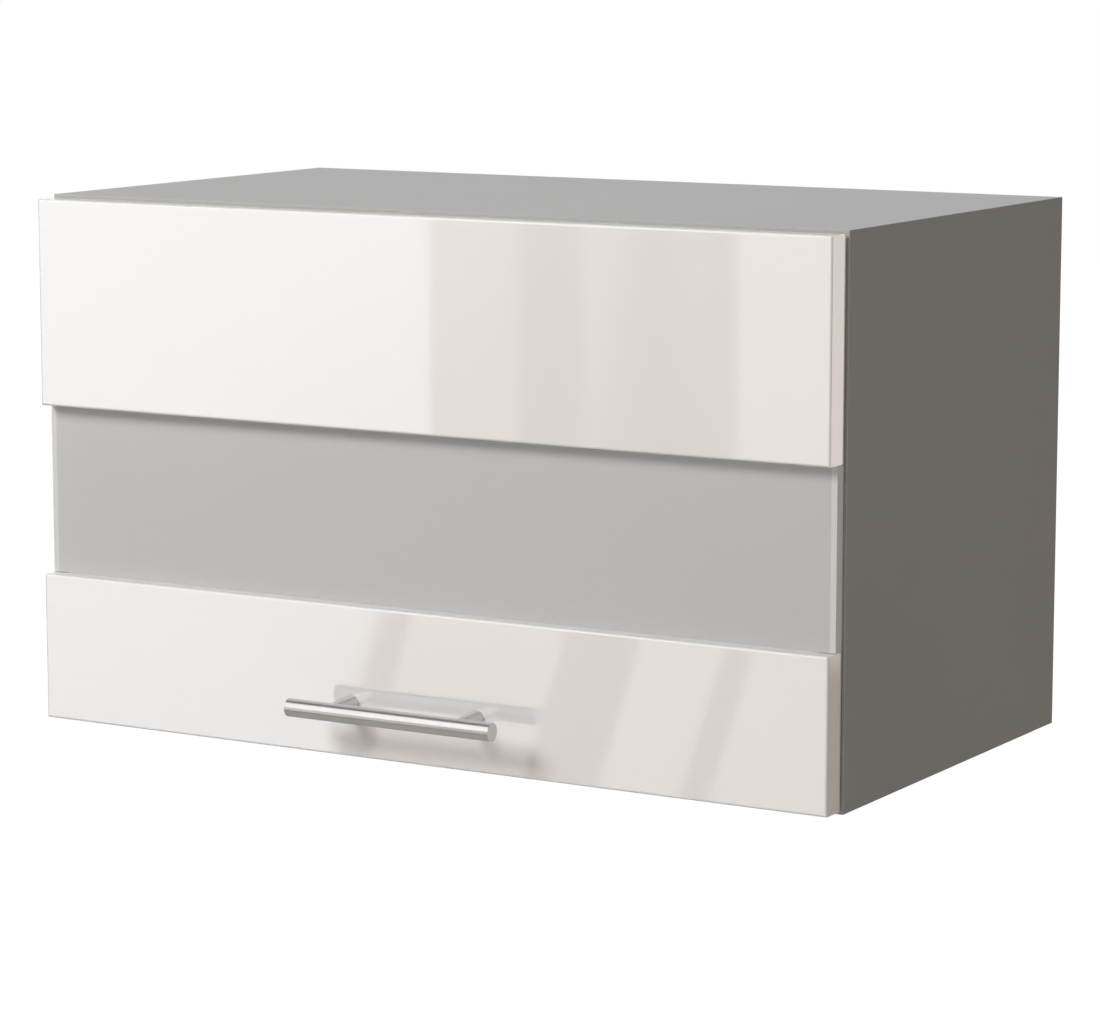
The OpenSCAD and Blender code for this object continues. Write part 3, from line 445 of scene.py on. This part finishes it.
# %% Plastic finishes
def plastic(name, colour, roughness, **constants):
    finish = Finish(name, **constants)
    place = finish.place()
    grain = finish.noise(place, cells=1600.0, detail=2.0)
    cloud = finish.noise(place, cells=25.0, detail=2.0)
    finish.set("Base Color", finish.blend(cloud, tinted(colour, 0.96), tinted(colour, 1.03)))
    finish.set("Roughness", (roughness - 0.05) + 0.1 * grain)
    finish.bump(grain, 30 * MICRON)
    return finish


def white_plastic():
    return plastic("white_plastic", colour=(0.74, 0.74, 0.72), roughness=0.45)


def dark_plastic():
    return plastic("dark_plastic", colour=(0.060, 0.060, 0.064), roughness=0.50)


def grey_plastic():
    return plastic("grey_plastic", colour=(0.30, 0.30, 0.295), roughness=0.42)


def clear_rubber():
    colour = (0.70, 0.70, 0.68)
    return plastic("clear_rubber", colour, roughness=0.30, Transmission_Weight=0.4)


keep(white_plastic(), dark_plastic(), grey_plastic(), clear_rubber())

# %% [markdown]
# ## Beech
# The dowels in the corners are turned beech: a plain warm wood with small dark flecks
# that run with the grain. Rings could be drawn on their ends too, but they sit in
# their holes, where only the flecks could ever be seen.

# %% Wood
BEECH_BROWNS = ((0.40, 0.23, 0.11), (0.62, 0.42, 0.23))


def beech():
    finish = Finish("beech", Roughness=0.6)
    flecks = finish.noise(finish.place(), cells=(60.0, 900.0, 900.0), detail=4.0)
    finish.set("Base Color", finish.blend(flecks, *BEECH_BROWNS))
    finish.bump(flecks, 60 * MICRON)
    return finish


keep(beech())

# %% [markdown]
# ## Giving each part its finish
# Each part names the material slot that it takes its finish from. The parts could be
# painted one by one, but every finish is already kept under its slot's name, so one
# short loop paints them all.

# %% Paint the parts
slot_of = {row["node"]: row["material_slot"] for row in frame["record"]["subparts"]}

for name, part in parts.items():
    part.data.materials.clear()
    part.data.materials.append(finishes[slot_of[name]])
print(f"{len(finishes)} finishes on {len(parts)} parts")

# %% [markdown]
# ## Softened edges
# No edge on a real part is perfectly sharp. A saw, a press or a mould leaves a tiny
# round, and that round is what catches a thin line of light. It could be drawn in the
# parts themselves, but a bevel modifier on each part's hard edges gives it with no
# change to them. Panels and bands get a round of a few tenths of a millimetre, and
# the glass a small ground chamfer. Parts with rounds of their own are left out.

# %% Bevels
EDGES = {                               # finish: width of the bevel, segments
    "melamine": (0.30 * MM, 2),
    "edge_band": (0.30 * MM, 2),
    "satin_glass": (0.60 * MM, 1),
    "brushed_handle": (0.40 * MM, 2),
    "zinc_steel": (0.25 * MM, 2),
    "nickel_steel": (0.25 * MM, 2),
    "white_plastic": (0.30 * MM, 2),
    "dark_plastic": (0.40 * MM, 2),
    "grey_plastic": (0.40 * MM, 2),
}
HARD_EDGE = math.radians(40)


def soften(part, width, segments):
    bevel = part.modifiers.new("soft_edges", "BEVEL")
    bevel.width = width
    bevel.segments = segments
    bevel.limit_method = "ANGLE"
    bevel.angle_limit = HARD_EDGE
    bevel.use_clamp_overlap = True
    bevel.harden_normals = True


for name, part in parts.items():
    if slot_of[name] in EDGES:
        soften(part, *EDGES[slot_of[name]])
print(sum(slot_of[name] in EDGES for name in parts), "parts have softened edges")

# %% [markdown]
# ## The studio
# The cabinet hangs in front of plain white. The floor lies well below it, so that its
# shadow is soft and low views stay above the floor. A floor lit only by the lamps
# would come out grey, and more light would wash out the cabinet. So the floor gives
# off a little brightness of its own that counts only for the camera's direct look,
# and the world does the same behind it. What mirrors see is left to the cards further
# down, because steel with white all round it looks flat.

# %% Floor
FLOOR_DROP = 1.60
FLOOR_REACH = 20.0
FLOOR_GLOW = 0.80
BLACK = (0.0, 0.0, 0.0)
WHITE = (1.0, 1.0, 1.0)
CORNERS = ((-1, -1), (1, -1), (1, 1), (-1, 1))


def stage_sheet(name, corners, finish):
    mesh = bpy.data.meshes.new(name)
    mesh.from_pydata(corners, [], [(0, 1, 2, 3)])
    mesh.materials.append(finish.material)
    sheet = bpy.data.objects.new(name, mesh)
    bpy.context.scene.collection.objects.link(sheet)
    sheet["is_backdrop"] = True
    return sheet


def floor_finish():
    finish = Finish("floor", Roughness=0.9, Base_Color=(0.86, 0.86, 0.86))
    camera_ray = finish.node("ShaderNodeLightPath", output="Is Camera Ray")
    finish.set("Emission Color", finish.blend(camera_ray, BLACK, WHITE))
    finish.set("Emission Strength", FLOOR_GLOW)
    return finish


floor_z = cad_low.z - FLOOR_DROP
floor_corners = [(x * FLOOR_REACH, y * FLOOR_REACH, floor_z) for x, y in CORNERS]
stage_sheet("floor", floor_corners, floor_finish())
print(f"floor {FLOOR_DROP:.2f} m below the cabinet")

# %% [markdown]
# ## Light
# Two square lamps and an even glow are enough. The main lamp stands in front, to the
# upper left: it lights the white boards, and the upper board drops its soft shadow
# on the set-back glass. A larger, weaker lamp above and behind brightens the top
# panel. The world's glow reaches the side that no lamp sees, and is a little warm, as
# bounced indoor light is. The lamps hide from mirrors, because their square outlines
# would show in the lacquer and on the steel. At this level a colour renders about as
# it is written.

# %% Lamps and world
def soft_lamp(name, place, aim, size, watts):
    light = bpy.data.lights.new(name, "AREA")
    light.shape = "SQUARE"
    light.size = size
    light.energy = watts
    lamp = bpy.data.objects.new(name, light)
    lamp.location = place
    lamp.rotation_mode = "QUATERNION"
    lamp.rotation_quaternion = (Vector(aim) - Vector(place)).to_track_quat("-Z", "Y")
    lamp.visible_glossy = False
    bpy.context.scene.collection.objects.link(lamp)


def world_light(tint, strength):
    """White to the camera, and a tinted glow for everything else."""
    world = bpy.data.worlds.new("studio")
    world.use_nodes = True
    nodes = Nodes(world.node_tree)
    background = nodes.tree.nodes["Background"]
    camera_ray = nodes.node("ShaderNodeLightPath", output="Is Camera Ray")
    nodes.feed(background.inputs["Color"], nodes.blend(camera_ray, tint, WHITE))
    nodes.feed(background.inputs["Strength"], strength + (1.0 - strength) * camera_ray)
    bpy.context.scene.world = world


middle = (cad_low + cad_high) / 2
soft_lamp("top_lamp", place=(-0.3, 0.6, 2.4), aim=middle, size=2.0, watts=17.0)
soft_lamp("front_lamp", place=(-1.3, -2.5, 1.6), aim=middle, size=1.1, watts=63.0)
world_light(tint=(1.0, 0.955, 0.91), strength=0.29)
print("two lamps and a warm glow are set")

# %% [markdown]
# ## What the gloss mirrors
# A polished front has little look of its own: it shows whatever stands before it. A
# photographer gives it cards to mirror, and this script does too. Whole things could
# be modelled for it instead, but a card is one face, and easy to move. Each card is an
# upright sheet that glows and that only mirrors can see, so it lights nothing. The
# front card is bright on the left, where the boards mirror it as nearly white, and
# has soft warm folds and slanted bands further on. The sky card above it draws the
# bright line along the handle and the boards' upper edges. The wall card closes the
# front on the right, for the rounded edges, and the narrow right card is what the
# boards' ends see. The back card gives the top panel its pale sheen.

# %% Cards
CARDS = {                               # (left, near, bottom), (right, far, top)
    "sky_card": ((-3.0, -1.8, -0.05), (-0.2, -1.8, 4.0)),
    "back_card": ((-4.5, 3.0, 0.0), (0.8, 3.0, 3.0)),
    "front_card": ((-3.3, -3.5, -1.35), (-0.9, -3.5, -0.15)),
    "wall_card": ((-0.9, -3.5, -1.35), (3.2, 1.6, 1.0)),
    "right_card": ((1.87, 3.0, -1.25), (2.07, 3.0, -0.05)),
}


def mirror_card(name, glow, strength):
    """A card whose glow is one colour, or a function that paints it."""
    (left, near, bottom), (right, far, top) = CARDS[name]
    finish = Finish(name, Base_Color=BLACK, Roughness=1.0, Specular_IOR_Level=0.0)
    finish.set("Emission Color", glow(finish) if callable(glow) else glow)
    finish.set("Emission Strength", strength)
    corners = [(left, near, bottom), (right, far, bottom), (right, far, top), (left, near, top)]
    card = stage_sheet(name, corners, finish)
    card.visible_camera = False
    card.visible_diffuse = False
    card.visible_shadow = False
    card.visible_transmission = False


mirror_card("sky_card", WHITE, strength=1.8)
mirror_card("back_card", (0.90, 0.95, 1.0), strength=1.05)
print("two plain cards stand above and behind the cabinet")

# %% [markdown]
# ## The front card
# The front card is painted by masks that step from 0 to 1 along it and up it. A
# noise that is stretched upright makes the folds, and a noise along a slanted line
# makes the bands. Between the two boards' views lies a dark stretch that neither
# board mirrors: only the handle does, and it gives the bar its dark lower line. It
# could be built from many small plain cards, but masks give soft edges and are
# quicker to change.

# %% Front card
BRIGHT_TO_WARM = (0.545, 0.550)         # steps along the card, as shares of its length
WARM_TO_PALE = (0.775, 0.783)
BRIGHT_TO_BANDS = (0.42, 0.46)
BANDS_TO_DARK = (0.43, 0.46)            # steps up the card, as shares of its height
DARK_TO_FOLDS = (0.58, 0.61)
FOLD_EDGE = (0.36, 0.64)                # steps in the noise: wide for folds, narrow for bands
BAND_EDGE = (0.485, 0.495)
BAND_SLANT = 0.16
SOFT_WHITE = (0.95, 0.94, 0.91)
PALE_TAN = (0.86, 0.74, 0.66)
FOLD_TANS = ((0.40, 0.28, 0.21), (0.64, 0.48, 0.40))
BAND_TANS = ((0.50, 0.34, 0.29), (0.82, 0.69, 0.60))
NEAR_BLACK = (0.12, 0.11, 0.10)


def front_glow(finish):
    place = finish.place("Generated")
    along, up = finish.axis(place, "X"), finish.axis(place, "Z")
    folds = finish.noise(place, cells=(22.0, 0.0, 0.5), detail=1.5).step(*FOLD_EDGE)
    high = finish.blend(along.step(*BRIGHT_TO_WARM), WHITE, finish.blend(folds, *FOLD_TANS))
    high = finish.blend(along.step(*WARM_TO_PALE), high, PALE_TAN)
    slant = along - BAND_SLANT * up
    on_slant = finish.node("ShaderNodeCombineXYZ", inputs={"X": slant})
    bands = finish.noise(on_slant, cells=17.0, detail=1.0).step(*BAND_EDGE)
    low = finish.blend(slant.step(*BRIGHT_TO_BANDS), SOFT_WHITE, finish.blend(bands, *BAND_TANS))
    upper = finish.blend(up.step(*DARK_TO_FOLDS), NEAR_BLACK, high)
    return finish.blend(up.step(*BANDS_TO_DARK), low, upper)


mirror_card("front_card", front_glow, strength=1.75)
print("the front card has folds above and bands below")

# %% [markdown]
# ## The wall card and the right card
# Each of these changes only once. The wall card fades to the right, because lacquer
# mirrors more at a low angle, and a bright card there would burn the front out when
# it is seen from the left. The right card is dark low down, because the lower board's
# end mirrors a dimmer place. Each could be two plain cards side by side, but one mask
# gives the soft change between them.

# %% Wall card and right card
WALL_FADE = (0.22, 0.45)                # a step along the card, as shares of its length
WALL_WHITES = ((1.0, 0.97, 0.94), (0.75, 0.74, 0.72))
RIGHT_DARK_TO_BRIGHT = (0.24, 0.34)     # a step up the card, as shares of its height
RIGHT_TANS = ((0.28, 0.22, 0.17), (1.0, 0.90, 0.83))


def wall_glow(finish):
    along = finish.axis(finish.place("Generated"), "X")
    return finish.blend(along.step(*WALL_FADE), *WALL_WHITES)


def right_glow(finish):
    up = finish.axis(finish.place("Generated"), "Z")
    return finish.blend(up.step(*RIGHT_DARK_TO_BRIGHT), *RIGHT_TANS)


mirror_card("wall_card", wall_glow, strength=1.8)
mirror_card("right_card", right_glow, strength=2.1)
print(f"{len(CARDS)} cards stand round the cabinet")

# %% [markdown]
# ## Last checks
# The dressed cabinet has to keep the size of its parts. It could be measured by eye, but its box is
# easy to compare: both boxes are taken, and how far the dressed one has grown is printed before the
# script ends.

# %% Sizes and finish
seen_low, seen_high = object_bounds()
grown = (seen_high - seen_low) - (cad_high - cad_low)
print("grown by", [round(side / MM, 2) for side in grown], "mm")
